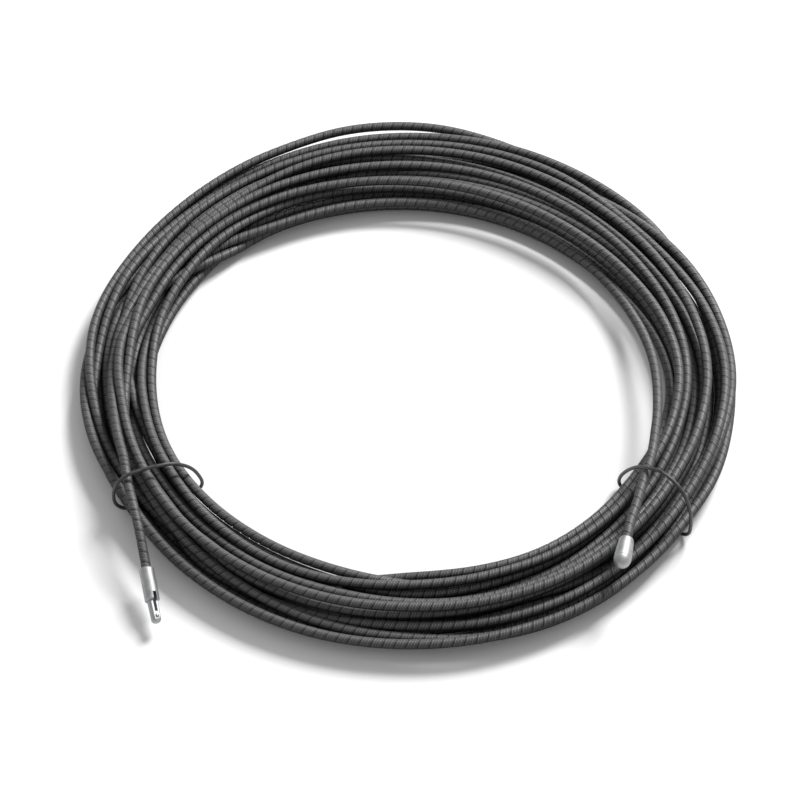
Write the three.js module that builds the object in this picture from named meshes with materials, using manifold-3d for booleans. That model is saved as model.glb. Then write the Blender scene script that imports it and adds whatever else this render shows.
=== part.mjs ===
// Drain-cleaning cable, put away as a tied ring: a round wire cable with a male
// coupling on one end and a bulb-shaped end plug on the other, held by two wire ties.
// Millimetres, +Z up, the ring lies flat on z = 0 and is centred on the origin.
import * as THREE from "three";
import Module from "manifold-3d";

// ---------------------------------------------------------------- dimensions
// cable
const CABLE_D = 9.5;            // outer winding
const WINDING_BORE_D = 6.9;     // hole the core runs through
const CORE_D = 6.2;             // inner core rope
const TUBE_SIDES = 12;

// ring of stored turns, one solid of its outer shape
const RING_R = 275;             // mean radius of the turns
const RING_HALF_W = 42;         // half the width of the bundle
const RING_TOP = 45;            // height of the bundle
const RING_MID_Z = 21.5;        // height of the section's widest point
const RING_SEGMENTS = 120;
const RING_SECTION_POINTS = 30;

// wire ties round the bundle
const TIE_D = 3.0;
const TIE_SIDES = 10;
const TIE_STEPS = 76;
const TIE_LOW_Z = 1.8;          // centre of the wire under the bundle
const TIE_SPREAD = 1.9;         // sideways offset of each end where the two ends pass
const TIE_NOTCH_W = 14;
const TIE_NOTCH_H = 5.0;
// each tie lies in an upright plane through these two points: distance from the ring's axis, angle
const LEFT_TIE_LINE = [[228, 211.1], [308, 208.4]];
const RIGHT_TIE_LINE = [[228, -31.0], [313, -34.35]];

// male coupling, along its own axis from the cable end
const COUPLING_D = 13.8;
const COUPLING_BODY_L = 33;
const COUPLING_L = 55;
const COUPLING_CHAMFER = 1.0;
const SOCKET_D = 10.3;
const SOCKET_DEPTH = 22;
const TONGUE_D = 9.9;           // at the shoulder
const TONGUE_TIP_D = 9.0;
const TONGUE_HALF_T = 3.7;      // half thickness between the two flats
const SLOT_W = 3.2;
const SLOT_FROM = 25.6;
const SLOT_TO = 44.4;
const SLOT_FLOOR = 0.2;
const COUPLING_TURN_DEG = 27;   // the slotted flat is turned this far round from straight up
const CRIMP_AT = 11;
const CRIMP_DEPTH = 0.7;

// spring plunger across the tongue
const PLUNGER_AT = 48.9;        // along the coupling axis
const PLUNGER_BORE_D = 5.2;
const PLUNGER_MOUTH_D = 3.8;
const PLUNGER_LIP_FLOOR = 2.2;  // underside of the lip that keeps the plunger in
const PLUNGER_HEAD_D = 3.1;
const PLUNGER_TOP = 5.0;
const PLUNGER_FLANGE_D = 4.5;
const PLUNGER_FLANGE_T = 0.8;
const PLUG_T = 1.1;
const SPRING_WIRE_D = 0.5;
const SPRING_D = 3.9;
const SPRING_TURNS = 2.5;
const GAP = 0.3;

// end plug, along its own axis from the cable end
const BULB_L = 32;
const BULB_NECK_D = 12.6;
const BULB_D = 16.4;
const BULB_SOCKET_DEPTH = 18;

// where the two free ends run
const COUPLING_START = [-240.8, -231.3, 26];
const COUPLING_END = [-229.27, -283.76, 14.19];
const COUPLING_LEAD = [
  [-266.0, -120.0, 50.5],
  [-261.3, -146.0, 48.2],
  [-255.6, -168.0, 45.6],
  [-250.0, -190.0, 40.2],
  [-244.6, -211.5, 32.6],
];
const BULB_START = [197.0, -219.2, 55.0];
const BULB_END = [190.13, -250.44, 54.36];
const BULB_LEAD = [
  [224.3, -120.0, 51.0],
  [217.4, -144.5, 52.6],
  [211.6, -164.6, 53.8],
  [206.0, -184.6, 54.6],
  [200.7, -202.0, 55.0],
];

// wire tie loops in their own upright plane: distance from the ring's axis, height
const LEFT_TIE_LOOP = [
  [262, TIE_LOW_Z], [282, TIE_LOW_Z], [299, TIE_LOW_Z + 0.1], [313, 7.5],
  [320.6, 21], [318.6, 36], [310.5, 49.5], [299, 56.6], [284, 55.4],
  [266, 52.4], [248, 47.6], [234.5, 37], [228.6, 21.5], [234, 8],
  [247, TIE_LOW_Z + 0.1], [262, TIE_LOW_Z], [284, TIE_LOW_Z],
];
const RIGHT_TIE_LOOP = [
  [262, TIE_LOW_Z], [282, TIE_LOW_Z], [299, TIE_LOW_Z + 0.1], [313, 7.5],
  [320.6, 21], [318.6, 36], [309.5, 49.5], [294, 59.4], [276, 62.6],
  [258, 61.2], [243, 53], [233, 39], [228.6, 22.5], [233.5, 8],
  [247, TIE_LOW_Z + 0.1], [262, TIE_LOW_Z], [284, TIE_LOW_Z],
];

// ---------------------------------------------------------------- helpers
const wasm = await Module();
wasm.setup();
const V = (p) => new THREE.Vector3(...p);

function toSolid(geometry) {
  const g = geometry.index ? geometry.toNonIndexed() : geometry;
  const pos = g.getAttribute("position");
  const seen = new Map();
  const verts = [];
  const tris = [];
  for (let i = 0; i < pos.count; i += 3) {
    const t = [];
    for (let k = 0; k < 3; k++) {
      const p = [pos.getX(i + k), pos.getY(i + k), pos.getZ(i + k)];
      const key = p.map((v) => Math.round(v * 2000)).join(",");
      if (!seen.has(key)) {
        seen.set(key, verts.length / 3);
        verts.push(...p);
      }
      t.push(seen.get(key));
    }
    if (t[0] !== t[1] && t[1] !== t[2] && t[0] !== t[2]) tris.push(...t);
  }
  const m = new wasm.Manifold(
    new wasm.Mesh({
      numProp: 3,
      vertProperties: new Float32Array(verts),
      triVerts: new Uint32Array(tris),
    }),
  );
  if (m.volume() < 0) {
    for (let i = 0; i < tris.length; i += 3)
      [tris[i + 1], tris[i + 2]] = [tris[i + 2], tris[i + 1]];
    return new wasm.Manifold(
      new wasm.Mesh({
        numProp: 3,
        vertProperties: new Float32Array(verts),
        triVerts: new Uint32Array(tris),
      }),
    );
  }
  return m;
}

function toGeometry(solid) {
  const m = solid.getMesh();
  const n = m.numProp;
  const out = new Float32Array(m.numVert * 3);
  for (let i = 0; i < m.numVert; i++)
    for (let k = 0; k < 3; k++) out[i * 3 + k] = m.vertProperties[i * n + k];
  const g = new THREE.BufferGeometry();
  g.setAttribute("position", new THREE.BufferAttribute(out, 3));
  g.setIndex(new THREE.BufferAttribute(new Uint32Array(m.triVerts), 1));
  g.computeVertexNormals();
  return g;
}

// A closed lathe of [radius, height] pairs, turned so that its axis is +Z.
function lathe(profile, segments = 36) {
  const pts = profile.map(([r, z]) => new THREE.Vector2(r, z));
  const closed = profile[0][0] > 1e-6 || profile[profile.length - 1][0] > 1e-6;
  if (closed) pts.push(pts[0].clone());
  return new THREE.LatheGeometry(pts, segments).rotateX(Math.PI / 2);
}

function box(x0, x1, y0, y1, z0, z1) {
  return new THREE.BoxGeometry(x1 - x0, y1 - y0, z1 - z0).translate(
    (x0 + x1) / 2, (y0 + y1) / 2, (z0 + z1) / 2,
  );
}

function circleShape(d, sides) {
  const pts = [];
  for (let i = 0; i < sides; i++) {
    const a = (2 * Math.PI * i) / sides;
    pts.push(new THREE.Vector2((d / 2) * Math.cos(a), (d / 2) * Math.sin(a)));
  }
  return new THREE.Shape(pts);
}

function tube(points, d, steps, sides = TUBE_SIDES, boreD = 0) {
  const shape = circleShape(d, sides);
  if (boreD) {
    const hole = [];
    for (let i = 0; i < sides; i++) {
      const a = (-2 * Math.PI * i) / sides;
      hole.push(new THREE.Vector2((boreD / 2) * Math.cos(a), (boreD / 2) * Math.sin(a)));
    }
    shape.holes.push(new THREE.Path(hole));
  }
  const curve = new THREE.CatmullRomCurve3(points, false, "centripetal");
  return new THREE.ExtrudeGeometry(shape, { extrudePath: curve, steps, bevelEnabled: false });
}

// Sends a piece built along +Z, with its top side on +X, to a start point and direction.
function alongAxis(geometry, from, to, side = new THREE.Vector3(0, 0, 1)) {
  const z = V(to).sub(V(from)).normalize();
  const x = side.clone().addScaledVector(z, -side.dot(z)).normalize();
  const y = new THREE.Vector3().crossVectors(z, x);
  const m = new THREE.Matrix4().makeBasis(x, y, z).setPosition(V(from));
  return geometry.clone().applyMatrix4(m);
}

// The start and level direction of a tie's plane, from its two [radius, angle] points.
function tieLine([[r0, deg0], [r1, deg1]]) {
  const at = (r, deg) => {
    const a = THREE.MathUtils.degToRad(deg);
    return new THREE.Vector3(r * Math.cos(a), r * Math.sin(a), 0);
  };
  const from = at(r0, deg0);
  const along = at(r1, deg1).sub(from);
  const scale = along.length() / (r1 - r0);
  return { from, along: along.normalize(), scale };
}

function onAxis(from, to, t) {
  return V(from).addScaledVector(V(to).sub(V(from)).normalize(), t);
}

// ---------------------------------------------------------------- materials
const finish = (name, color, roughness, metalness) => {
  const m = new THREE.MeshStandardMaterial({ color, roughness, metalness });
  m.name = name;
  return m;
};
const cableSteel = finish("cable_steel", 0x5a5a5e, 0.48, 0.85);
const coreSteel = finish("core_steel", 0x85868a, 0.5, 0.9);
const fittingSteel = finish("fitting_steel", 0xc9cacc, 0.3, 0.95);
const pinSteel = finish("pin_steel", 0x9a9b9f, 0.32, 0.95);
const springSteel = finish("spring_steel", 0x8d8f93, 0.35, 0.95);
const tieCoat = finish("tie_coating", 0x3d3d40, 0.55, 0.1);

const part = new THREE.Group();
part.name = "drain_cable";
function add(name, geometry, material) {
  const mesh = new THREE.Mesh(geometry, material);
  mesh.name = name;
  part.add(mesh);
}

// ---------------------------------------------------------------- stored turns
// The section is an ellipse cut flat where the bundle rests on the floor.
const halfH = RING_TOP - RING_MID_Z;
const flatHalf = RING_HALF_W * Math.sqrt(1 - (RING_MID_Z / halfH) ** 2);
const startA = Math.atan2(-RING_MID_Z / halfH, flatHalf / RING_HALF_W);
const ringProfile = [];
for (let i = 0; i <= RING_SECTION_POINTS; i++) {
  const a = startA + ((Math.PI - 2 * startA) * i) / RING_SECTION_POINTS;
  ringProfile.push([RING_R + RING_HALF_W * Math.cos(a), RING_MID_Z + halfH * Math.sin(a)]);
}
ringProfile[0][1] = 0;
ringProfile[RING_SECTION_POINTS][1] = 0;
let ring = toSolid(lathe(ringProfile, RING_SEGMENTS));
for (const line of [LEFT_TIE_LINE, RIGHT_TIE_LINE]) {
  const { from, along } = tieLine(line);
  const mid = RING_R - line[0][0];
  const cut = box(
    mid - RING_HALF_W - 8, mid + RING_HALF_W + 8,
    -TIE_NOTCH_W / 2, TIE_NOTCH_W / 2, -5, TIE_NOTCH_H,
  ).rotateZ(Math.atan2(along.y, along.x)).translate(from.x, from.y, 0);
  ring = ring.subtract(toSolid(cut));
}
add("cable_coil", toGeometry(ring), cableSteel);

// ---------------------------------------------------------------- wire ties
// Each tie is one wire bent once round the bundle; its two ends pass side by side below.
function tie(name, loop, line) {
  const { from, along, scale } = tieLine(line);
  const side = new THREE.Vector3(-along.y, along.x, 0);
  const pts = loop.map(([r, z], i) => {
    const s = -1 + (2 * i) / (loop.length - 1);
    return from.clone().addScaledVector(along, (r - line[0][0]) * scale).addScaledVector(side, TIE_SPREAD * s).setZ(z);
  });
  add(name, toGeometry(toSolid(tube(pts, TIE_D, TIE_STEPS, TIE_SIDES))), tieCoat);
}
tie("tie_wire_left", LEFT_TIE_LOOP, LEFT_TIE_LINE);
tie("tie_wire_right", RIGHT_TIE_LOOP, RIGHT_TIE_LINE);

// ---------------------------------------------------------------- free end with the coupling
const couplingLead = [
  ...COUPLING_LEAD.map(V),
  V(COUPLING_START),
  onAxis(COUPLING_START, COUPLING_END, SOCKET_DEPTH - 8),
  onAxis(COUPLING_START, COUPLING_END, SOCKET_DEPTH - GAP),
];
add("coupling_tail_winding", toGeometry(toSolid(tube(couplingLead, CABLE_D, 34, TUBE_SIDES, WINDING_BORE_D))), cableSteel);
add("coupling_tail_core", toGeometry(toSolid(tube(couplingLead, CORE_D, 34, TUBE_SIDES))), coreSteel);

// Body with a socket for the cable, then a flat-sided tongue with a lengthwise slot.
const cr = COUPLING_D / 2;
let body = toSolid(lathe([
  [0, SOCKET_DEPTH], [SOCKET_D / 2, SOCKET_DEPTH], [SOCKET_D / 2, 0],
  [cr - COUPLING_CHAMFER, 0], [cr, COUPLING_CHAMFER * 1.3],
  [cr, COUPLING_BODY_L - COUPLING_CHAMFER], [cr - COUPLING_CHAMFER, COUPLING_BODY_L], [0, COUPLING_BODY_L],
], 48));
const tongueProfile = [[0, SOCKET_DEPTH + 3], [TONGUE_D / 2, SOCKET_DEPTH + 3], [TONGUE_D / 2, COUPLING_BODY_L + 2]];
const domeR = TONGUE_TIP_D / 2;
const domeAt = COUPLING_L - 3.4;
for (let i = 0; i <= 8; i++) {
  const a = (Math.PI / 2) * (i / 8);
  tongueProfile.push([domeR * Math.cos(a), domeAt + (COUPLING_L - domeAt) * Math.sin(a)]);
}
tongueProfile[tongueProfile.length - 1][0] = 0;
const tongue = toSolid(lathe(tongueProfile, 40)).intersect(
  toSolid(box(-TONGUE_HALF_T, TONGUE_HALF_T, -20, 20, SOCKET_DEPTH, COUPLING_L + 5)),
);
body = body.add(tongue);
body = body.subtract(toSolid(box(SLOT_FLOOR, 20, -SLOT_W / 2, SLOT_W / 2, SLOT_FROM, SLOT_TO)));
// pressed dimples that grip the cable, two on each side
for (const s of [-1, 1])
  for (const dz of [0, 7.5]) {
    const dimple = new THREE.SphereGeometry(5.2, 24, 16)
      .scale(1.0, 1.0, 0.62)
      .translate(0, s * (cr + 5.2 - CRIMP_DEPTH), CRIMP_AT + dz - 3);
    body = body.subtract(toSolid(dimple));
  }
// stepped cross bore for the plunger
const across = (g) => g.rotateY(Math.PI / 2).translate(0, 0, PLUNGER_AT);
body = body.subtract(toSolid(across(lathe([
  [0, -6], [PLUNGER_BORE_D / 2, -6], [PLUNGER_BORE_D / 2, PLUNGER_LIP_FLOOR],
  [PLUNGER_MOUTH_D / 2, PLUNGER_LIP_FLOOR], [PLUNGER_MOUTH_D / 2, 6], [0, 6],
], 28))));
const turnA = THREE.MathUtils.degToRad(COUPLING_TURN_DEG);
const couplingSide = new THREE.Vector3(Math.sin(turnA), 0, Math.cos(turnA));
add("male_coupling_body", alongAxis(toGeometry(body), COUPLING_START, COUPLING_END, couplingSide), fittingSteel);

// Plunger: flange kept under the lip, rounded head standing out of the flat.
const flangeTop = PLUNGER_LIP_FLOOR - GAP;
const flangeLow = flangeTop - PLUNGER_FLANGE_T;
const plungerProfile = [
  [0, flangeLow], [PLUNGER_FLANGE_D / 2, flangeLow], [PLUNGER_FLANGE_D / 2, flangeTop],
  [PLUNGER_HEAD_D / 2, flangeTop],
];
const headAt = PLUNGER_TOP - 1.0;
for (let i = 0; i <= 5; i++) {
  const a = (Math.PI / 2) * (i / 5);
  plungerProfile.push([(PLUNGER_HEAD_D / 2) * Math.cos(a), headAt + 1.0 * Math.sin(a)]);
}
plungerProfile[plungerProfile.length - 1][0] = 0;
const place = (g) => alongAxis(g, COUPLING_START, COUPLING_END, couplingSide);
add("coupling_plunger", place(toGeometry(toSolid(across(lathe(plungerProfile, 28))))), pinSteel);

const plugLow = -TONGUE_HALF_T + 0.15;
add("plunger_bore_plug", place(toGeometry(toSolid(across(lathe([
  [0, plugLow], [PLUNGER_BORE_D / 2 - GAP, plugLow], [PLUNGER_BORE_D / 2 - GAP, plugLow + PLUG_T], [0, plugLow + PLUG_T],
], 28))))), pinSteel);

// Compression spring between the plug and the plunger.
const springLow = plugLow + PLUG_T + GAP + SPRING_WIRE_D / 2;
const springTop = flangeLow - GAP - SPRING_WIRE_D / 2;
const springPts = [];
for (let i = 0; i <= 56; i++) {
  const t = i / 56;
  const a = 2 * Math.PI * SPRING_TURNS * t;
  const r = (SPRING_D - SPRING_WIRE_D) / 2;
  springPts.push(new THREE.Vector3(r * Math.cos(a), r * Math.sin(a), springLow + (springTop - springLow) * t));
}
add("plunger_spring", place(toGeometry(toSolid(across(tube(springPts, SPRING_WIRE_D, 76, 8))))), springSteel);

// ---------------------------------------------------------------- free end with the end plug
const bulbLead = [
  ...BULB_LEAD.map(V),
  V(BULB_START),
  onAxis(BULB_START, BULB_END, BULB_SOCKET_DEPTH - 8),
  onAxis(BULB_START, BULB_END, BULB_SOCKET_DEPTH - GAP),
];
add("bulb_tail_winding", toGeometry(toSolid(tube(bulbLead, CABLE_D, 32, TUBE_SIDES, WINDING_BORE_D))), cableSteel);
add("bulb_tail_core", toGeometry(toSolid(tube(bulbLead, CORE_D, 32, TUBE_SIDES))), coreSteel);

const br = BULB_D / 2;
const bulbProfile = [
  [0, BULB_SOCKET_DEPTH], [SOCKET_D / 2, BULB_SOCKET_DEPTH], [SOCKET_D / 2, 0],
  [BULB_NECK_D / 2 - 0.7, 0], [BULB_NECK_D / 2, 0.6], [6.8, 2.0], [7.1, 4.0], [7.45, 8], [7.78, 13], [8.05, 18], [br, 21.6],
];
const bulbDomeAt = 22.4;
for (let i = 0; i <= 10; i++) {
  const a = (Math.PI / 2) * (i / 10);
  bulbProfile.push([(br - 0.1) * Math.cos(a), bulbDomeAt + (BULB_L - bulbDomeAt) * Math.sin(a)]);
}
bulbProfile[bulbProfile.length - 1][0] = 0;
add("bulb_end_plug", alongAxis(toGeometry(toSolid(lathe(bulbProfile, 48))), BULB_START, BULB_END), fittingSteel);

export default part;
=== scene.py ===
import bpy
import bmesh
import math
import numpy as np
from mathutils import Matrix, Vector


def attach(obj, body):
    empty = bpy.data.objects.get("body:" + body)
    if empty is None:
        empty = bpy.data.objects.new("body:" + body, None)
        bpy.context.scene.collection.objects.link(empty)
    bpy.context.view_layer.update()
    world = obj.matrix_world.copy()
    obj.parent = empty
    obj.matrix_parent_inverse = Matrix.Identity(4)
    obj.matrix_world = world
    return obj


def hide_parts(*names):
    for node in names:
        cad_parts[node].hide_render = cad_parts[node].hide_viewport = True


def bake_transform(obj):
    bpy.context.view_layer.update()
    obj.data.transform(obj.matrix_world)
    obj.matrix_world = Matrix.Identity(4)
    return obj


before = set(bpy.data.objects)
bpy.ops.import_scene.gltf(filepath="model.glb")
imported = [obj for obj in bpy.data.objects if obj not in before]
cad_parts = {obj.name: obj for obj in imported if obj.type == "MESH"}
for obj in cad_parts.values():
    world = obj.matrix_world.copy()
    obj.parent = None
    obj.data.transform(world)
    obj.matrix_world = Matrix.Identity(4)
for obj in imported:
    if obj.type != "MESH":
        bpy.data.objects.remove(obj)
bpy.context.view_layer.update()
MM = 0.001
scene = bpy.context.scene
scene.view_settings.view_transform = "Standard"
scene.view_settings.look = "None"

# ---------------------------------------------------------------------------
# Camera: 50 degrees above the floor, straight across the ring from its near side.
# ---------------------------------------------------------------------------
ELEVATION = math.radians(50.0)
DISTANCE = 3.050
LOOK_AT = (0.0, 0.0, 0.020)
LENS = 142.74
cam_data = bpy.data.cameras.new("camera")
cam_data.sensor_width = 36.0
cam_data.lens = LENS
cam_data.clip_start = 0.05
cam_data.clip_end = 60.0
cam_data.shift_x = -0.0125
cam_data.shift_y = -0.02625
camera = bpy.data.objects.new("camera", cam_data)
scene.collection.objects.link(camera)
camera.location = (0.0, LOOK_AT[1] - DISTANCE * math.cos(ELEVATION), LOOK_AT[2] + DISTANCE * math.sin(ELEVATION))
camera.rotation_euler = (math.pi / 2 - ELEVATION, 0.0, 0.0)
scene.camera = camera

# ---------------------------------------------------------------------------
# The route of the cable, in millimetres. One line runs from the coupling, under
# the left tie, round the ring 17 and two thirds times and out to the end plug.
# ---------------------------------------------------------------------------
CABLE_D = 9.5
LEFT_TIE = 209.0
RIGHT_TIE = -33.0
TURNS = 17
STEP = 5.0                       # degrees between the stations of the ring
PER = int(360 / STEP)
MID_Z = 22.5
SEED = 3
SWAPS = 7
LOOSE = 14.6

# outside and inside edge of the bundle every 15 degrees, counter-clockwise from +X
OUTER = [315.2, 316.2, 317.0, 318.2, 321.8, 325.5, 326.2, 328.2, 328.6, 324.2, 321.2, 320.8,
         318.0, 313.8, 309.6, 309.8, 312.8, 315.6, 316.4, 317.2, 316.8, 315.6, 314.0, 314.2]
INNER = [243.0, 236.5, 227.5, 222.5, 220.8, 221.8, 225.2, 228.8, 233.4, 238.2, 241.2, 242.2,
         241.2, 240.2, 237.6, 237.6, 235.2, 232.4, 231.2, 234.6, 237.4, 235.6, 234.6, 239.5]

# where the two free ends run, from the ring outwards, as in the solid model
COUPLING_START = (-240.8, -231.3, 26.0)
COUPLING_END = (-229.27, -283.76, 14.19)
COUPLING_LEAD = [(-266.0, -120.0, 43.2), (-261.3, -146.0, 42.6), (-255.6, -168.0, 42.0),
                 (-250.0, -190.0, 38.4), (-244.9, -212.0, 32.0)]
BULB_START = (197.0, -219.2, 55.0)
BULB_END = (190.13, -250.44, 54.36)
BULB_LEAD = [(224.3, -120.0, 51.0), (217.4, -144.5, 52.6), (211.6, -164.6, 53.8),
             (206.0, -184.6, 54.6), (200.7, -202.0, 55.0)]
# the first and the last pass beside the ties: angle, radius, height
FIRST_PASS = [(170.0, 286.0, 27.5), (175.0, 285.6, 30.0), (180.0, 285.4, 32.5), (186.0, 285.2, 36.0), (190.0, 285.4, 38.4), (197.0, 287.2, 41.8),
              (204.3, 291.8, 43.2), (209.2, 299.3, 42.6)]
LAST_PASS = [(-33.6, 261.0, 52.2), (-28.15, 254.4, 51.0), (-21.8, 246.8, 48.0), (-13.0, 239.8, 43.8),
             (-5.0, 235.9, 40.0), (3.6, 232.9, 36.5), (11.0, 230.8, 32.0), (18.7, 229.8, 27.0),
             (27.0, 229.4, 23.5), (34.8, 229.5, 21.5), (45.0, 229.2, 20.4), (56.0, 228.9, 20.0),
             (70.0, 229.4, 20.0), (84.0, 231.6, 20.0)]


def around(table, deg):
    """A smooth closed curve through values that are evenly spaced round the ring."""
    v = np.asarray(table, float)
    n = len(v)
    x = (np.asarray(deg, float) % 360.0) * n / 360.0
    i = np.floor(x).astype(int)
    f = x - i
    p0, p1, p2, p3 = v[(i - 1) % n], v[i % n], v[(i + 1) % n], v[(i + 2) % n]
    return 0.5 * (2 * p1 + (p2 - p0) * f + (2 * p0 - 5 * p1 + 4 * p2 - p3) * f**2 + (3 * p1 - p0 - 3 * p2 + p3) * f**3)


def apart(deg, at):
    """Degrees between angles, from -180 to 180."""
    return (np.asarray(deg) - at + 180.0) % 360.0 - 180.0


def knotted(v, x):
    """A smooth curve through the values v, read at the places x from 0."""
    v = np.asarray(v, float)
    i = np.minimum(x.astype(int), len(v) - 2)
    f = x - i
    p0, p1, p2, p3 = v[np.maximum(i - 1, 0)], v[i], v[i + 1], v[np.minimum(i + 2, len(v) - 1)]
    return 0.5 * (2 * p1 + (p2 - p0) * f + (2 * p0 - 5 * p1 + 4 * p2 - p3) * f**2 + (3 * p1 - p0 - 3 * p2 + p3) * f**3)


def wander(rng, n, knots):
    """A smooth random curve over n samples with one knot every so many samples, about -1 to 1."""
    return knotted(rng.uniform(-1, 1, int(np.ceil(n / knots)) + 4), np.arange(n) / knots + 1)


def wind(seed=SEED, iters=2400):
    """Lets the turns settle: each passes every station of the ring once a turn, and is pushed by its neighbours, by its own stiffness, by gravity and by the ties."""
    rng = np.random.default_rng(seed)
    n = int(round((LEFT_TIE - RIGHT_TIE + 360.0 * TURNS) / STEP)) + 1
    u = np.arange(n) * STEP
    deg = LEFT_TIE - u
    th = np.radians(deg)
    ro, ri = around(OUTER, deg), around(INNER, deg)
    R = (ro + ri) / 2
    A = (ro - ri) / 2 - CABLE_D / 2
    B = np.full(n, MID_Z - CABLE_D / 2) + 1.5 * np.exp(-(apart(deg, 90) / 60.0) ** 2)
    tie = np.exp(-(apart(deg, LEFT_TIE) / 8.0) ** 2) + np.exp(-(apart(deg, RIGHT_TIE) / 8.0) ** 2)
    A = A - 2.5 * tie
    floor = -(MID_Z - CABLE_D / 2) + 3.8 * tie
    # each turn has a place in the section, eight below, six in the middle and four on top, and moves to the next one over part of a turn
    sites = np.array([(x, -1.0) for x in np.linspace(-0.95, 0.95, 8)] + [(x, -0.12) for x in np.linspace(1.0, -1.0, 6)]
                     + [(x, 0.85) for x in np.linspace(-0.66, 0.66, 4)])
    order = np.arange(len(sites))
    for _ in range(SWAPS):
        i, j = rng.integers(0, len(sites), 2)
        order[i], order[j] = order[j], order[i]
    # the first pass lies on top, and the last at the inside, halfway up
    for at, site in ((0, 16), (len(sites) - 1, 13), (3, 8)):
        j = int(np.flatnonzero(order == site)[0])
        order[at], order[j] = order[j], order[at]
    aim = np.repeat(sites[order[0]][None], n, 0)
    for j in range(1, TURNS + 1):
        width = rng.uniform(120, 230)
        start = (j + rng.uniform(-0.35, 0.35)) * 360.0 - width / 2
        w = np.clip((u - start) / width, 0, 1)
        w = w * w * (3 - 2 * w)
        aim = aim + (sites[order[j]] - sites[order[j - 1]])[None] * w[:, None]
    aim[:, 0] += 0.16 * wander(rng, n, 24) + 0.07 * wander(rng, n, 11)
    aim[:, 1] += 0.20 * wander(rng, n, 22) + 0.08 * wander(rng, n, 10)
    # somewhere in each sector one turn reaches the inside edge and another the outside edge
    for edge in (-1, 1):
        for at in range(10, 360, 30):
            place = int(round(((LEFT_TIE - at) % 360) / STEP)) % PER
            rows = [i for i in range(place, n, PER) if not (edge > 0 and i // PER == 3)]
            rise = -0.12 + (0.40 if edge > 0 else -0.57) * math.sin(math.radians(at))
            rows.sort(key=lambda i: 0.25 * abs(aim[i, 1] - rise) - edge * aim[i, 0])
            x0 = (1 - abs(rise) ** 2.5) ** 0.4
            held_here = [(rows[0], x0, rise), (rows[1], 0.74, rise - 0.3)]
            if edge < 0 and 200 < at < 340:
                held_here.append((rows[2], 0.60, rise - 0.75))
            if edge > 0 and 20 < at < 170:
                held_here = [(rows[0], x0, rise), (rows[1], x0 - 0.20, rise - 0.15), (rows[2], x0 - 0.42, rise - 0.25)]
            for best, x, y in held_here:
                w = np.exp(-(((np.arange(n) - best) * STEP / 24.0) ** 2))[:, None]
                aim = aim * (1 - w) + np.array([[edge * x, y]]) * w
    aim = np.clip(aim, -1, 1) * np.stack([A, B], 1)
    # one turn stands a little away from the bundle at the back
    off = (np.arange(n) - (3 * PER + int(round((LEFT_TIE - 92) / STEP)))) * STEP
    loose = np.exp(-((off / 17.0) ** 2))
    w = np.clip(1.6 * np.exp(-((off / 75.0) ** 2)), 0, 1)[:, None]
    aim = aim * (1 - w) + np.stack([A + 4 * loose, 0 * A], 1) * w
    p = aim + rng.normal(0, 0.5, (n, 2))
    held = np.zeros(n, bool)
    pin = np.zeros((n, 2))
    first = u <= LEFT_TIE - FIRST_PASS[0][0]
    f_deg, f_r, f_z = np.array(FIRST_PASS).T
    pin[first, 0] = np.interp(deg[first], f_deg, f_r) - R[first]
    pin[first, 1] = np.interp(deg[first], f_deg, f_z) - MID_Z
    last_deg = deg + 360.0 * TURNS
    last = last_deg <= LAST_PASS[-1][0]
    l_deg, l_r, l_z = np.array(LAST_PASS).T
    pin[last, 0] = np.interp(last_deg[last], l_deg, l_r) - R[last]
    pin[last, 1] = np.interp(last_deg[last], l_deg, l_z) - MID_Z
    held |= first | last
    p[held] = pin[held]
    # beyond them the line is led, less and less, towards the place it came from
    lead_in, lead_at = np.zeros(n), np.zeros((n, 2))
    i0, i1 = np.flatnonzero(first)[-1], np.flatnonzero(last)[0]
    for i in range(1, 13):
        ease = 0.5 * (1 - i / 13.0) ** 2
        lead_in[i0 + i] = lead_in[i1 - i] = ease
        lead_at[i0 + i] = pin[i0] + (pin[i0] - pin[i0 - 1]) * i * math.exp(-i / 5.0)
        lead_at[i1 - i] = pin[i1] + (pin[i1] - pin[i1 + 1]) * i * math.exp(-i / 5.0)
    turns = int(np.ceil(n / PER))
    grid = np.full((PER, turns), -1)
    for i in range(n):
        grid[i % PER, i // PER] = i
    ok = grid >= 0
    gi = np.where(ok, grid, 0)
    pair = ok[:, :, None] & ok[:, None, :] & ~np.eye(turns, dtype=bool)[None]
    limit_a = A + 16.0 * loose
    for it in range(iters):
        t = it / iters
        f = (0.010 + 0.02 * (1 - t) ** 1.5) * (aim - p)
        f[:, 1] -= 0.014
        lap = np.zeros_like(p)
        lap[1:-1] = p[:-2] - 2 * p[1:-1] + p[2:]
        bend = np.zeros_like(p)
        bend[1:-1] = lap[:-2] - 2 * lap[1:-1] + lap[2:]
        f += 0.05 * lap - 0.095 * bend
        f[:, 0] += loose * 0.3 * np.clip(A + LOOSE - p[:, 0], -3, 3)
        f[:, 1] += loose * 0.15 * np.clip(2.0 - p[:, 1], -3, 3)
        f += lead_in[:, None] * (lead_at - p)
        p += f
        for _ in range(2):
            P = p[gi]
            D = P[:, :, None] - P[:, None, :]
            dist = np.sqrt((D**2).sum(3)) + 1e-9
            over = np.where(pair, np.maximum(0, CABLE_D * 1.02 - dist), 0)
            push = (D / dist[..., None] * over[..., None] * 0.45).sum(2)
            np.add.at(p, gi[ok], push[ok])
            p[held] = pin[held]
        q = ((np.abs(p[:, 0]) / limit_a) ** 2.5 + (np.abs(p[:, 1]) / B) ** 2.5) ** 0.4
        p *= np.where(q > 1, 1 + (1 / np.maximum(q, 1) - 1) * 0.5, 1)[:, None]
        p[:, 1] = np.maximum(p[:, 1], floor)
        p[held] = pin[held]
    return u, th, R + p[:, 0], MID_Z + p[:, 1], grid


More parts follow.
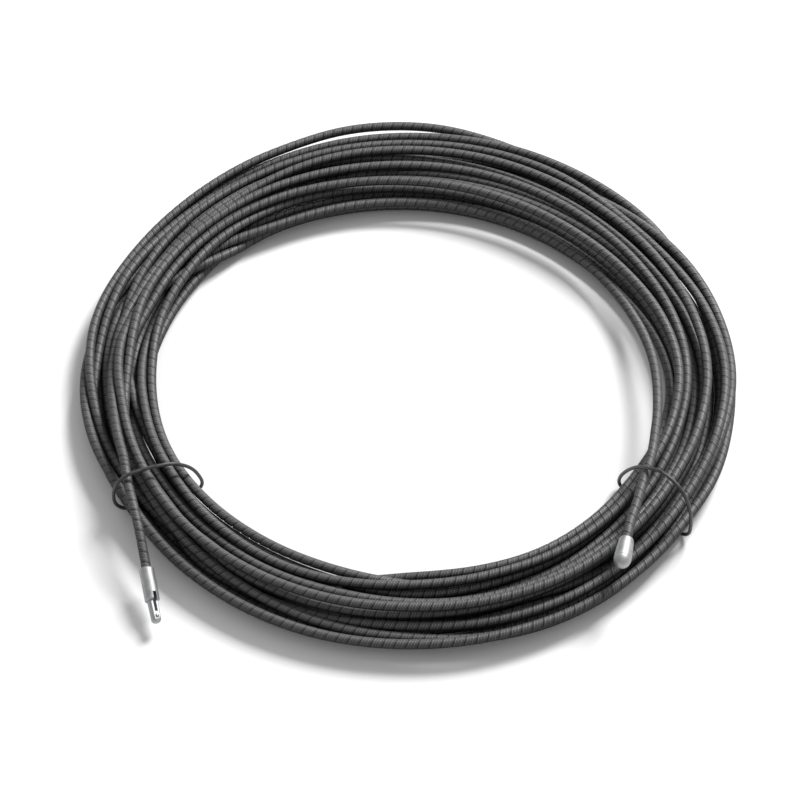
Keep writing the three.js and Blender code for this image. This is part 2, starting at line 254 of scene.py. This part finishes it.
def spline(points, step):
    """A natural cubic spline through the points, and its points every step millimetres."""
    P = np.asarray(points, float)
    n = len(P)
    t = np.r_[0, np.cumsum(np.sqrt((np.diff(P, axis=0) ** 2).sum(1)))]
    h = np.diff(t)
    lo, di, up, rhs = np.zeros(n), np.ones(n), np.zeros(n), np.zeros((n, 3))
    lo[1:-1], di[1:-1], up[1:-1] = h[:-1], 2 * (h[:-1] + h[1:]), h[1:]
    rhs[1:-1] = 6 * ((P[2:] - P[1:-1]) / h[1:, None] - (P[1:-1] - P[:-2]) / h[:-1, None])
    for i in range(1, n):
        w = lo[i] / di[i - 1]
        di[i] -= w * up[i - 1]
        rhs[i] -= w * rhs[i - 1]
    M = np.zeros((n, 3))
    M[-1] = rhs[-1] / di[-1]
    for i in range(n - 2, -1, -1):
        M[i] = (rhs[i] - up[i] * M[i + 1]) / di[i]
    s = np.linspace(0, t[-1], max(2, int(round(t[-1] / step)) + 1))
    i = np.clip(np.searchsorted(t, s, side="right") - 1, 0, n - 2)
    dx, hh = s - t[i], h[i]
    a, b = (hh - dx) / hh, dx / hh
    return (a[:, None] * P[i] + b[:, None] * P[i + 1]
            + ((a**3 - a)[:, None] * M[i] + (b**3 - b)[:, None] * M[i + 1]) * (hh**2)[:, None] / 6)


def whole_route(seed=SEED):
    u, th, r, z, grid = wind(seed)
    ring = np.stack([r * np.cos(th), r * np.sin(th), z], 1)
    ring = ring[2:-1]                       # the tie stations themselves come from the lead tables
    a, b = np.array(COUPLING_START), np.array(COUPLING_END)
    d = (b - a) / np.linalg.norm(b - a)
    left = [a + d * 20.0, a + d * 10.0, a] + [np.array(q) for q in COUPLING_LEAD[::-1]]
    a2, b2 = np.array(BULB_START), np.array(BULB_END)
    d2 = (b2 - a2) / np.linalg.norm(b2 - a2)
    right = [np.array(q) for q in BULB_LEAD] + [a2, a2 + d2 * 9.0, a2 + d2 * 17.0]
    # the ring's own stations between the two lead tables
    ang = np.degrees(np.arctan2(ring[:, 1], ring[:, 0]))
    keep = np.ones(len(ring), bool)
    for k in range(len(ring)):
        if k < 6 and np.linalg.norm(ring[k] - left[-1]) < 12:
            keep[k] = False
        if k > len(ring) - 8 and np.linalg.norm(ring[k] - right[0]) < 12:
            keep[k] = False
    # drop stations that lie past the lead tables' first points
    for k in range(0, 6):
        if (ang[k] % 360) > 204.0:
            keep[k] = False
    for k in range(len(ring) - 8, len(ring)):
        if ang[k] < -28.0:
            keep[k] = False
    return np.vstack([left, ring[keep], right]), (u, th, r, z, grid)

# ---------------------------------------------------------------------------
# Mesh helpers
# ---------------------------------------------------------------------------
def new_mesh(name, verts, loops, starts, smooth=True):
    """A mesh from arrays: verts in metres, loops the corners' vertices, starts the first corner of each face."""
    me = bpy.data.meshes.new(name)
    me.vertices.add(len(verts))
    me.vertices.foreach_set("co", np.asarray(verts, np.float32).ravel())
    me.loops.add(len(loops))
    me.loops.foreach_set("vertex_index", np.asarray(loops, np.int32))
    me.polygons.add(len(starts))
    me.polygons.foreach_set("loop_start", np.asarray(starts, np.int32))
    me.update(calc_edges=True)
    me.validate()
    if smooth:
        me.polygons.foreach_set("use_smooth", np.ones(len(me.polygons), bool))
    me.update()
    ob = bpy.data.objects.new(name, me)
    scene.collection.objects.link(ob)
    return ob


def point_values(ob, name, values):
    a = ob.data.attributes.new(name, "FLOAT", "POINT")
    a.data.foreach_set("value", np.asarray(values, np.float32))


def line_frames(P):
    """Arc length, tangent, level normal and binormal at each point of a line that never stands upright."""
    d = np.gradient(P, axis=0)
    T = d / np.linalg.norm(d, axis=1)[:, None]
    N = np.cross(T, np.array([0.0, 0.0, 1.0]))
    N /= np.linalg.norm(N, axis=1)[:, None]
    B = np.cross(T, N)
    s = np.r_[0, np.cumsum(np.linalg.norm(np.diff(P, axis=0), axis=1))]
    return s, T, N, B


def at(s, q, V):
    """Rows of V, given at arc lengths s, read at arc lengths q."""
    return np.stack([np.interp(q, s, V[:, c]) for c in range(V.shape[1])], -1)


# ---------------------------------------------------------------------------
# The cable. Its outer winding is eight wires side by side, wound left-handed. The
# rows of the mesh run along the wires: a crest and a valley for each wire, and a
# wider seam once a lead, where the eighth wire meets the first.
# ---------------------------------------------------------------------------
WIRES = 8
LEAD = 10.45
ROWS = 2 * WIRES
ROW = LEAD / ROWS
COLS = 10
R_CREST = CABLE_D / 2
R_VALLEY = R_CREST - 0.55
R_SEAM = R_CREST - 1.30


def winding(name, line, k0, k1, strips):
    s, T, N, B = line
    k = np.arange(k0, k1 + 1)
    ghosts = np.arange(k0 - ROWS, k0)                     # first column's rows before the piece, for its closing faces
    kk = np.concatenate([np.repeat(k, COLS), ghosts])
    jj = np.concatenate([np.tile(np.arange(COLS), len(k)), np.zeros(len(ghosts), int)])
    phi = 2 * np.pi * jj / COLS + np.pi / 2               # the closing column lies underneath
    q = kk * ROW - LEAD * jj / COLS
    phase = kk % ROWS
    r = np.where(phase % 2 == 0, R_CREST, R_VALLEY)
    r = np.where(phase == ROWS - 1, R_SEAM, r)
    # small differences from wire to wire, the same all along it
    wire = (phase // 2).astype(int)
    r = r + np.array([0.0, -0.05, 0.03, -0.02, 0.04, -0.04, 0.02, -0.03])[wire] * (phase % 2 == 0)
    # and slow ones along the cable
    r = r + 0.035 * np.sin(q * 0.037 + 1.3) * np.sin(q * 0.0113)
    n, b = at(s, q, N), at(s, q, B)
    co = at(s, q, ROUTE) + r[:, None] * (np.cos(phi)[:, None] * n + np.sin(phi)[:, None] * b)
    rows = np.arange(len(k) - 1)
    K, J = np.meshgrid(rows, np.arange(COLS), indexing="ij")
    K, J = K.ravel(), J.ravel()
    last = J == COLS - 1

    def vertex(row, col):
        closing = col == COLS
        row = np.where(closing, row - ROWS, row)
        idx = row * COLS + np.where(closing, 0, col)
        return np.where(row < 0, len(k) * COLS + (row + ROWS), idx)

    a, b_, c, d = vertex(K, J), vertex(K + 1, J), vertex(K + 1, J + 1), vertex(K, J + 1)
    loops = np.stack([a, d, c, b_], 1).ravel()
    ob = new_mesh(name, co * MM, loops, np.arange(len(a)) * 4)
    # painted shade: this value sets the cable's colour. It is near black in the valleys between wires and at the seam,
    # where shade falls, and gives each wire's crest a slightly different tone of its own
    wire_tone_and_groove_shade = np.where(phase % 2 == 0, np.array([0.10, 0.16, 0.0, 0.18, 0.04, 0.15, 0.0, 0.20])[wire], 0.55)
    wire_tone_and_groove_shade = np.where(phase == ROWS - 1, 1.0, wire_tone_and_groove_shade)
    point_values(ob, "wire_tone_and_groove_shade", wire_tone_and_groove_shade)
    # how far each point faces upwards; the material uses it to paint strand tops lighter and their sides darker
    point_values(ob, "topside", np.cos(phi) * n[:, 2] + np.sin(phi) * b[:, 2])
    point_values(ob, "along", (q % 997.0) * MM)
    # the cable unrolled into long strips
    per = int(np.ceil((len(k) - 1) / strips))
    i = K // per
    local = (K - i * per) * ROW
    full = per * ROW + LEAD
    uv = []
    for row, col in ((K, J), (K, J + 1), (K + 1, J + 1), (K + 1, J)):
        x = ((row - i * per) * ROW - LEAD * col / COLS + LEAD) / full
        y = (i + 0.04 + 0.92 * col / COLS) / strips
        uv.append(np.stack([0.003 + 0.994 * x, y], -1))
    layer = ob.data.uv_layers.new(name="OFBake", do_init=False)
    layer.uv.foreach_set("vector", np.stack(uv, 1).astype(np.float32).ravel())
    return ob


POINTS, _ = whole_route()
ROUTE = spline(POINTS, 2.0)
S, T_, N_, B_ = line_frames(ROUTE)
LINE = (S, T_, N_, B_)
LENGTH = S[-1]


def nearest(point, lo=0.0, hi=1e9):
    m = (S >= lo) & (S <= hi)
    i = np.flatnonzero(m)
    return S[i[np.argmin(np.linalg.norm(ROUTE[i] - np.array(point), axis=1))]]


s_left = nearest(COUPLING_LEAD[0], 0, 260)
s_right = nearest(BULB_LEAD[0], LENGTH - 260)
k_first = int(math.ceil(LEAD / ROW)) + 1
k_left = int(round((s_left + LEAD / 2) / ROW))
k_right = int(round((s_right + LEAD / 2) / ROW))
k_last = int(math.floor(LENGTH / ROW)) - 1

coil = winding("coiled_cable", LINE, k_left, k_right, 32)
left_end = winding("coupling_end_cable", LINE, k_first, k_left, 4)
right_end = winding("bulb_end_cable", LINE, k_right, k_last, 4)


# ---------------------------------------------------------------------------
# Wire ties: one coated wire each, bent round the bundle, its ends side by side below.
# ---------------------------------------------------------------------------
TIE_D = 3.4
# each tie lies in an upright plane through two places, given as radius and degrees
LEFT_TIE_LINE = ((228.0, 211.1), (308.0, 208.4))
RIGHT_TIE_LINE = ((228.0, -31.0), (313.0, -34.35))
LEFT_TIE_LOOP = [(250, 1.8), (272, 1.8), (292, 1.9), (303.5, 3.0), (309.6, 9.5), (312.4, 18), (312.6, 28), (311.0, 38),
                 (306.4, 46.2), (298.0, 51.6), (285.9, 53.2), (269.5, 53.0), (253.3, 49.2), (243.6, 42.4), (233.9, 29.0),
                 (229.8, 18.1), (229.0, 8.0), (233.5, 2.6), (243, 1.8), (258, 1.8), (278, 1.8)]
RIGHT_TIE_LOOP = [(250, 1.8), (272, 1.8), (294, 1.9), (307.0, 2.4), (313.4, 8.0), (315.4, 17), (315.2, 27), (313.8, 39),
                  (309.4, 50.6), (302.3, 60.0), (292.8, 65.3), (283.7, 67.4), (274.6, 66.5), (263.2, 60.8), (252.4, 53.0),
                  (243.2, 43.0), (234.2, 28.6), (229.0, 15.0), (229.2, 6.5), (234.0, 2.4), (243, 1.8), (258, 1.8), (278, 1.8)]


def tube(name, P, radius, sides, strips=1):
    """A round tube along points in millimetres, with rounded ends."""
    d = np.gradient(P, axis=0)
    T = d / np.linalg.norm(d, axis=1)[:, None]
    n = np.array([0.0, 0.0, 1.0])
    if abs(T[0] @ n) > 0.8:
        n = np.array([1.0, 0.0, 0.0])
    N = []
    for t in T:
        n = n - t * (n @ t)
        n = n / np.linalg.norm(n)
        N.append(n)
    N = np.array(N)
    B = np.cross(T, N)
    rings, radii = [P], [np.full(len(P), radius)]
    cap = np.radians([65, 40, 15])
    head = [P[0] - T[0] * radius * math.sin(a) for a in cap]
    tail = [P[-1] + T[-1] * radius * math.sin(a) for a in cap[::-1]]
    C = np.vstack([head, P, tail])
    R = np.r_[radius * np.cos(cap), np.full(len(P), radius), radius * np.cos(cap[::-1])]
    N = np.vstack([[N[0]] * 3, N, [N[-1]] * 3])
    B = np.vstack([[B[0]] * 3, B, [B[-1]] * 3])
    m = len(C)
    a = 2 * np.pi * np.arange(sides) / sides
    co = C[:, None] + R[:, None, None] * (np.cos(a)[None, :, None] * N[:, None] + np.sin(a)[None, :, None] * B[:, None])
    verts = np.vstack([co.reshape(-1, 3), P[0] - T[0] * radius, P[-1] + T[-1] * radius])
    I, J = np.meshgrid(np.arange(m - 1), np.arange(sides), indexing="ij")
    I, J = I.ravel(), J.ravel()
    J1 = (J + 1) % sides
    quads = np.stack([I * sides + J, I * sides + J1, (I + 1) * sides + J1, (I + 1) * sides + J], 1)
    j = np.arange(sides)
    low = np.stack([np.full(sides, m * sides), (j + 1) % sides, j], 1)
    high = np.stack([np.full(sides, m * sides + 1), (m - 1) * sides + j, (m - 1) * sides + (j + 1) % sides], 1)
    loops = np.concatenate([quads.ravel(), low.ravel(), high.ravel()])
    starts = np.concatenate([np.arange(len(quads)) * 4, len(quads) * 4 + np.arange(2 * sides) * 3])
    return new_mesh(name, verts * MM, loops, starts)


def tie(name, loop, line):
    (r0, d0), (r1, d1) = line
    a0, a1 = math.radians(d0), math.radians(d1)
    start = np.array([r0 * math.cos(a0), r0 * math.sin(a0), 0.0])
    along = (np.array([r1 * math.cos(a1), r1 * math.sin(a1), 0.0]) - start) / (r1 - r0)
    side = np.array([-along[1], along[0], 0.0]) / np.linalg.norm(along)
    pts = []
    for i, (r, z) in enumerate(loop):
        t = -1 + 2 * i / (len(loop) - 1)
        pts.append(start + along * (r - r0) + side * 2.0 * t + np.array([0, 0, z]))
    P = spline(pts, 1.6)
    n = len(P)
    w = np.arange(n)
    wob = 0.22 * np.sin(w * 0.17 + d0) + 0.12 * np.sin(w * 0.43 + 1.7 * d0)
    P = P + side[None] * (wob * np.minimum(1, np.minimum(w, n - 1 - w) / 12.0))[:, None]
    return tube(name, P, TIE_D / 2, 20)


tie_left = tie("tie_left", LEFT_TIE_LOOP, LEFT_TIE_LINE)
tie_right = tie("tie_right", RIGHT_TIE_LOOP, RIGHT_TIE_LINE)


# ---------------------------------------------------------------------------
# Fittings
# ---------------------------------------------------------------------------
def axes(start, end):
    z = np.array(end) - np.array(start)
    z = z / np.linalg.norm(z)
    x = np.array([0, 0, 1.0]) - z * z[2]
    x = x / np.linalg.norm(x)
    return x, np.cross(z, x), z


def turned(name, profile, start, end, segments=96):
    """A turned piece: profile is [radius, place along the axis] from the socket's floor round to the tip."""
    x, y, z = axes(start, end)
    prof = np.array(profile, float)
    a = 2 * np.pi * np.arange(segments) / segments
    ring = np.cos(a)[:, None] * x + np.sin(a)[:, None] * y
    closed = prof[1:-1]
    co = np.array(start) + closed[:, 1][:, None, None] * z + closed[:, 0][:, None, None] * ring[None]
    verts = np.vstack([co.reshape(-1, 3), np.array(start) + z * prof[0, 1], np.array(start) + z * prof[-1, 1]])
    m = len(closed)
    I, J = np.meshgrid(np.arange(m - 1), np.arange(segments), indexing="ij")
    I, J = I.ravel(), J.ravel()
    J1 = (J + 1) % segments
    quads = np.stack([I * segments + J, (I + 1) * segments + J, (I + 1) * segments + J1, I * segments + J1], 1)
    j = np.arange(segments)
    low = np.stack([np.full(segments, m * segments), j, (j + 1) % segments], 1)
    high = np.stack([np.full(segments, m * segments + 1), (m - 1) * segments + (j + 1) % segments, (m - 1) * segments + j], 1)
    # the profile goes outwards and then along the axis, so faces turn out with this order reversed
    loops = np.concatenate([quads[:, ::-1].ravel(), low[:, ::-1].ravel(), high[:, ::-1].ravel()])
    starts = np.concatenate([np.arange(len(quads)) * 4, len(quads) * 4 + np.arange(2 * segments) * 3])
    ob = new_mesh(name, verts * MM, loops, starts)
    bm = bmesh.new()
    bm.from_mesh(ob.data)
    bmesh.ops.recalc_face_normals(bm, faces=bm.faces)
    bm.to_mesh(ob.data)
    bm.free()
    ob.data.set_sharp_from_angle(angle=math.radians(40))
    point_values(ob, "axial", ((verts - np.array(start)) @ z) * MM)
    return ob


bulb_profile = [(0, 18), (4.9, 18), (5.15, 17.7), (5.15, 0.5), (5.3, 0.12), (5.6, 0), (5.95, 0.12), (6.3, 0.6), (6.55, 1.2),
                (6.8, 2), (7.1, 4), (7.28, 6), (7.45, 8), (7.63, 10.5), (7.78, 13), (7.93, 15.5), (8.05, 18), (8.14, 20), (8.2, 21.3),
                (8.19, 21.62), (7.98, 21.85), (7.96, 22.15), (8.1, 22.42)]
for i in range(1, 19):
    a = math.pi / 2 * i / 18
    bulb_profile.append((8.1 * math.cos(a), 22.6 + 9.4 * math.sin(a)))
bulb_profile[-1] = (0.0, 32.0)
bulb = turned("bulb_plug", bulb_profile, BULB_START, BULB_END)


def finished(name, node, start, end, width=0.00022):
    """The CAD piece with its facets joined, its round faces smooth and its edges broken."""
    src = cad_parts[node].data
    bm = bmesh.new()
    bm.from_mesh(src)
    bmesh.ops.remove_doubles(bm, verts=bm.verts, dist=2e-6)
    bmesh.ops.dissolve_limit(bm, angle_limit=math.radians(1.2), verts=bm.verts, edges=bm.edges)
    me = bpy.data.meshes.new(name)
    for f in bm.faces:
        f.smooth = True
    bm.to_mesh(me)
    bm.free()
    me.set_sharp_from_angle(angle=math.radians(28))
    ob = bpy.data.objects.new(name, me)
    scene.collection.objects.link(ob)
    bev = ob.modifiers.new("edge_break", "BEVEL")
    bev.limit_method = "ANGLE"
    bev.angle_limit = math.radians(38)
    bev.width = width
    bev.segments = 2
    bev.harden_normals = True
    x, y, z = axes(start, end)
    co = np.zeros(len(me.vertices) * 3, np.float32)
    me.vertices.foreach_get("co", co)
    co = co.reshape(-1, 3) / MM
    point_values(ob, "axial", ((co - np.array(start)) @ z) * MM)
    return ob


coupling = finished("coupling_body", "male_coupling_body", COUPLING_START, COUPLING_END)

# the plunger's spring, pressed between the bore's plug and the plunger's flange
LONG = (np.array(COUPLING_END) - np.array(COUPLING_START)) / np.linalg.norm(np.array(COUPLING_END) - np.array(COUPLING_START))
PRESS = np.array([0.47635813, -0.09215323, 0.87440878])
ACROSS = np.cross(LONG, PRESS)
BORE = np.array(COUPLING_START) + LONG * 48.9
turn = np.linspace(0, 1, 140)
angle = 2 * math.pi * 2.5 * turn
spring_line = (BORE + PRESS * (-1.9 + 2.45 * turn)[:, None] + ACROSS * (1.7 * np.sin(angle))[:, None]
               - LONG * (1.7 * np.cos(angle))[:, None])
spring = tube("plunger_coil_spring", spring_line, 0.25, 12)

# ---------------------------------------------------------------------------
# Materials
# ---------------------------------------------------------------------------
class Nodes:
    def __init__(self, name):
        self.m = bpy.data.materials.new(name)
        self.m.use_nodes = True
        self.t = self.m.node_tree
        self.t.nodes.clear()
        self.out = self.t.nodes.new("ShaderNodeOutputMaterial")
        self.bsdf = self.t.nodes.new("ShaderNodeBsdfPrincipled")
        self.t.links.new(self.bsdf.outputs[0], self.out.inputs[0])

    def node(self, kind, **values):
        n = self.t.nodes.new(kind)
        for k, v in values.items():
            if k in n.inputs.keys():
                n.inputs[k].default_value = v
            else:
                setattr(n, k, v)
        return n

    def link(self, a, b):
        self.t.links.new(a, b)

    def place(self):
        return self.node("ShaderNodeTexCoord").outputs["Object"]

    def noise(self, scale, detail=3.0, rough=0.55, vector=None):
        n = self.node("ShaderNodeTexNoise", Scale=scale, Detail=detail, Roughness=rough)
        self.link(vector or self.place(), n.inputs["Vector"])
        return n.outputs["Fac"]

    def value(self, name):
        n = self.node("ShaderNodeAttribute")
        n.attribute_name = name
        return n.outputs["Fac"]

    def span(self, value, lo, hi, to_lo, to_hi):
        n = self.node("ShaderNodeMapRange")
        n.clamp = True
        self.link(value, n.inputs["Value"])
        for key, v in (("From Min", lo), ("From Max", hi), ("To Min", to_lo), ("To Max", to_hi)):
            n.inputs[key].default_value = v
        return n.outputs["Result"]

    def ramp(self, value, stops):
        n = self.node("ShaderNodeValToRGB")
        while len(n.color_ramp.elements) < len(stops):
            n.color_ramp.elements.new(0.5)
        for e, (p, c) in zip(n.color_ramp.elements, stops):
            e.position = p
            e.color = (*c, 1.0)
        self.link(value, n.inputs["Fac"])
        return n.outputs["Color"]

    def mix(self, fac, a, b, kind="MIX"):
        n = self.node("ShaderNodeMix", data_type="RGBA", blend_type=kind)
        for socket, v in ((n.inputs[0], fac), (n.inputs[6], a), (n.inputs[7], b)):
            if isinstance(v, (int, float)):
                socket.default_value = v
            elif isinstance(v, tuple):
                socket.default_value = (*v, 1.0)
            else:
                self.link(v, socket)
        return n.outputs[2]

    def maths(self, op, a, b=None):
        n = self.node("ShaderNodeMath", operation=op)
        for socket, v in ((n.inputs[0], a), (n.inputs[1], b)):
            if v is None:
                continue
            if isinstance(v, (int, float)):
                socket.default_value = v
            else:
                self.link(v, socket)
        return n.outputs[0]

    def bump(self, height, strength, distance):
        n = self.node("ShaderNodeBump", Strength=strength, Distance=distance)
        self.link(height, n.inputs["Height"])
        self.link(n.outputs[0], self.bsdf.inputs["Normal"])


def cable_steel():
    n = Nodes("cable_steel")
    wire_tone_and_groove_shade = n.value("wire_tone_and_groove_shade")
    # painted shade: light on the wire crests, each wire a little different in tone, and near black in the valleys and
    # at the seam, darkening the creases where shade falls
    base = n.ramp(wire_tone_and_groove_shade, [(0.0, (0.370, 0.370, 0.374)), (0.17, (0.220, 0.220, 0.224)), (0.5, (0.012, 0.012, 0.013)), (1.0, (0.003, 0.003, 0.004))])
    # painted light and shade: each strand is coloured lighter on its upward-facing top and darker on its sides, as
    # light from above falls on it
    painted_top_light = n.span(n.value("topside"), -0.1, 0.92, 0.20, 1.0)
    base = n.mix(1.0, base, n.mix(painted_top_light, (0.0, 0.0, 0.0), (1.0, 1.0, 1.0)), "MULTIPLY")
    cloud = n.span(n.noise(38.0, 4.0, 0.6), 0.3, 0.7, 0.0, 1.0)
    base = n.mix(n.maths("MULTIPLY", cloud, 0.16), base, (0.040, 0.040, 0.043))
    fine = n.noise(1500.0, 2.0, 0.6)
    # bright specks on the wire crests: partly real wear on the steel, partly a painted glint, since they are kept to
    # the upward-facing tops where the light from above strikes
    wear_and_painted_glint = n.maths("MULTIPLY", n.span(fine, 0.58, 0.70, 0.0, 1.0), n.span(wire_tone_and_groove_shade, 0.0, 0.3, 1.0, 0.0))
    wear_and_painted_glint = n.maths("MULTIPLY", wear_and_painted_glint, n.maths("MULTIPLY", painted_top_light, painted_top_light))
    base = n.mix(n.maths("MULTIPLY", wear_and_painted_glint, 0.55), base, (0.44, 0.44, 0.45))
    n.link(base, n.bsdf.inputs["Base Color"])
    n.bsdf.inputs["Metallic"].default_value = 0.35
    n.bsdf.inputs["Specular IOR Level"].default_value = 0.25
    rough = n.maths("ADD", n.span(cloud, 0.0, 1.0, 0.52, 0.62), n.span(fine, 0.35, 0.7, -0.06, 0.07))
    n.link(rough, n.bsdf.inputs["Roughness"])
    n.bump(fine, 0.25, 0.00012)
    return n.m


def plated_steel(name, tone, rough, turning):
    n = Nodes(name)
    cloud = n.noise(160.0, 4.0, 0.6)
    fine = n.noise(2600.0, 3.0, 0.6)
    base = n.ramp(cloud, [(0.30, tuple(c * 0.80 for c in tone)), (0.55, tone), (0.75, tuple(min(1, c * 1.08) for c in tone))])
    n.link(base, n.bsdf.inputs["Base Color"])
    n.bsdf.inputs["Metallic"].default_value = 1.0
    r = n.maths("ADD", n.span(cloud, 0.3, 0.7, rough - 0.06, rough + 0.08), n.span(fine, 0.3, 0.7, -0.04, 0.05))
    n.link(r, n.bsdf.inputs["Roughness"])
    if turning:
        lines = n.maths("SINE", n.maths("MULTIPLY", n.value("axial"), 2 * math.pi / 0.00042))
        h = n.maths("ADD", n.maths("MULTIPLY", lines, 0.18), fine)
    else:
        h = fine
    n.bump(h, 0.18, 0.00012)
    return n.m


def coating():
    n = Nodes("tie_coating")
    cloud = n.noise(220.0, 3.0, 0.55)
    base = n.ramp(cloud, [(0.3, (0.028, 0.028, 0.030)), (0.7, (0.060, 0.060, 0.064))])
    n.link(base, n.bsdf.inputs["Base Color"])
    n.link(n.span(cloud, 0.3, 0.7, 0.36, 0.50), n.bsdf.inputs["Roughness"])
    n.bump(n.noise(900.0, 2.0, 0.5), 0.25, 0.0002)
    return n.m


def floor_material():
    n = Nodes("studio_floor")
    c = n.ramp(n.noise(1.5, 2.0, 0.5), [(0.0, (0.90, 0.90, 0.90)), (1.0, (0.92, 0.92, 0.92))])
    n.link(c, n.bsdf.inputs["Base Color"])
    n.bsdf.inputs["Roughness"].default_value = 0.9
    n.bsdf.inputs["Specular IOR Level"].default_value = 0.1
    return n.m


def dress(ob, m):
    ob.data.materials.clear()
    ob.data.materials.append(m)


CABLE = cable_steel()
FITTING = plated_steel("fitting_steel", (0.43, 0.434, 0.440), 0.54, True)
PIN = plated_steel("pin_steel", (0.50, 0.50, 0.52), 0.30, False)
SPRING = plated_steel("spring_steel", (0.42, 0.43, 0.45), 0.32, False)
COAT = coating()
for ob in (coil, left_end, right_end):
    dress(ob, CABLE)
for ob in (coupling, bulb):
    dress(ob, FITTING)
for ob in (tie_left, tie_right):
    dress(ob, COAT)
dress(spring, SPRING)
for node, m in (("coupling_plunger", PIN), ("plunger_bore_plug", PIN)):
    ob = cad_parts[node]
    if ob.material_slots:
        for s_ in ob.material_slots:
            s_.material = m
    else:
        ob.data.materials.append(m)

# ---------------------------------------------------------------------------
# Which body each piece moves with, and what it stands for
# ---------------------------------------------------------------------------
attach(coil, "coil")
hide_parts("cable_coil")
for ob, node in ((tie_left, "tie_wire_left"), (tie_right, "tie_wire_right")):
    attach(ob, "coil")
    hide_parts(node)
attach(coupling, "coupling_end")
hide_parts("male_coupling_body")
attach(bulb, "bulb_end")
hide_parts("bulb_end_plug")
# the spring is squeezed between the plug and the plunger
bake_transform(spring)
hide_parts("plunger_spring")
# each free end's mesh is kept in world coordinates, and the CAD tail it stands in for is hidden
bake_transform(left_end)
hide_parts("coupling_tail_winding", "coupling_tail_core")
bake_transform(right_end)
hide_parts("bulb_tail_winding", "bulb_tail_core")

# ---------------------------------------------------------------------------
# Floor and light
# ---------------------------------------------------------------------------
me = bpy.data.meshes.new("studio_floor")
me.from_pydata([(-9, -9, -0.0002), (9, -9, -0.0002), (9, 9, -0.0002), (-9, 9, -0.0002)], [], [(0, 1, 2, 3)])
floor = bpy.data.objects.new("studio_floor", me)
scene.collection.objects.link(floor)
dress(floor, floor_material())


def area(name, place, target, size, power, size_y=None):
    d = bpy.data.lights.new(name, "AREA")
    d.shape = "RECTANGLE"
    d.size = size
    d.size_y = size_y or size
    d.energy = power
    o = bpy.data.objects.new(name, d)
    scene.collection.objects.link(o)
    o.location = place
    o.rotation_euler = (Vector(target) - Vector(place)).to_track_quat("-Z", "Y").to_euler()
    return o


KEY_DIR = Vector((0.62, 0.76, 1.0)).normalized()
area("key", KEY_DIR * 5.2, (0, 0, 0), 1.75, 335.0)
world = bpy.data.worlds.new("studio")
scene.world = world
world.use_nodes = True
bg = world.node_tree.nodes["Background"]
bg.inputs["Color"].default_value = (1.0, 1.0, 1.0, 1.0)
bg.inputs["Strength"].default_value = 0.49
